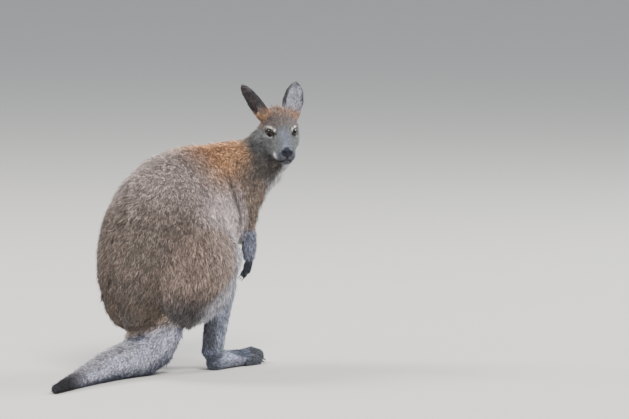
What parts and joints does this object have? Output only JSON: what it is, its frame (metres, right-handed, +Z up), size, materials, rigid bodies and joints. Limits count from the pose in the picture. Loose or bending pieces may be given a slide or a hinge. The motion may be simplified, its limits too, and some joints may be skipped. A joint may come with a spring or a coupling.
{
  "type": "wallaby",
  "caption": "Life-size red-necked wallaby resting on its hind feet and tail, looking back over its right shoulder, with a full coat of fur.",
  "frame": {"origin": "on the ground under the middle of the footprint box of the whole animal", "axes": "+Z up, the trunk faces -Y, the tail runs back along +Y, the animal's left is +X"},
  "size_m": [0.3748, 0.8374, 0.6306],
  "materials": {
    "coat_body": "dense grizzled grey-brown fur, matt",
    "coat_nape": "rufous fur, matt",
    "coat_face": "short grey-brown fur with a dark muzzle and pale lip, matt",
    "coat_limb": "short silver-grey fur, matt",
    "coat_paw": "short blackish fur, matt",
    "coat_tail": "silvery grey fur, matt",
    "coat_tail_tip": "blackish fur, matt",
    "coat_ear": "thin furred skin, dark outside and pale inside",
    "nose_skin": "moist black granular skin",
    "eye_wet": "wet dark brown eye, glossy",
    "claw_horn": "dark horn, satin"
  },
  "bodies": {
    "root": {"head": "coat_face", "nose": "nose_skin", "ear_left": "coat_ear", "eye_left": "eye_wet", "ear_right": "coat_ear", "eye_right": "eye_wet", "tail_root": "coat_tail", "tail_middle": "coat_tail", "tail_end": "coat_tail_tip", "thigh_left": "coat_body", "shin_left": "coat_limb", "foot_left": "coat_limb", "fourth_toe_left": "coat_paw", "fifth_toe_left": "coat_paw", "inner_toes_left": "coat_paw", "claw_4_left": "claw_horn", "claw_5_left": "claw_horn", "claw_3_left": "claw_horn", "claw_2_left": "claw_horn", "thigh_right": "coat_body", "shin_right": "coat_limb", "foot_right": "coat_limb", "fourth_toe_right": "coat_paw", "fifth_toe_right": "coat_paw", "inner_toes_right": "coat_paw", "claw_4_right": "claw_horn", "claw_5_right": "claw_horn", "claw_3_right": "claw_horn", "claw_2_right": "claw_horn", "upper_arm_left": "coat_body", "forearm_left": "coat_limb", "hand_left": "coat_paw", "finger_claw_1_left": "claw_horn", "finger_claw_2_left": "claw_horn", "finger_claw_3_left": "claw_horn", "finger_claw_4_left": "claw_horn", "finger_claw_5_left": "claw_horn", "upper_arm_right": "coat_body", "forearm_right": "coat_limb", "hand_right": "coat_paw", "finger_claw_1_right": "claw_horn", "finger_claw_2_right": "claw_horn", "finger_claw_3_right": "claw_horn", "finger_claw_4_right": "claw_horn", "finger_claw_5_right": "claw_horn", "neck": "coat_nape", "rump": "coat_body", "abdomen": "coat_body", "chest": "coat_body"}
  },
  "joints": []
}
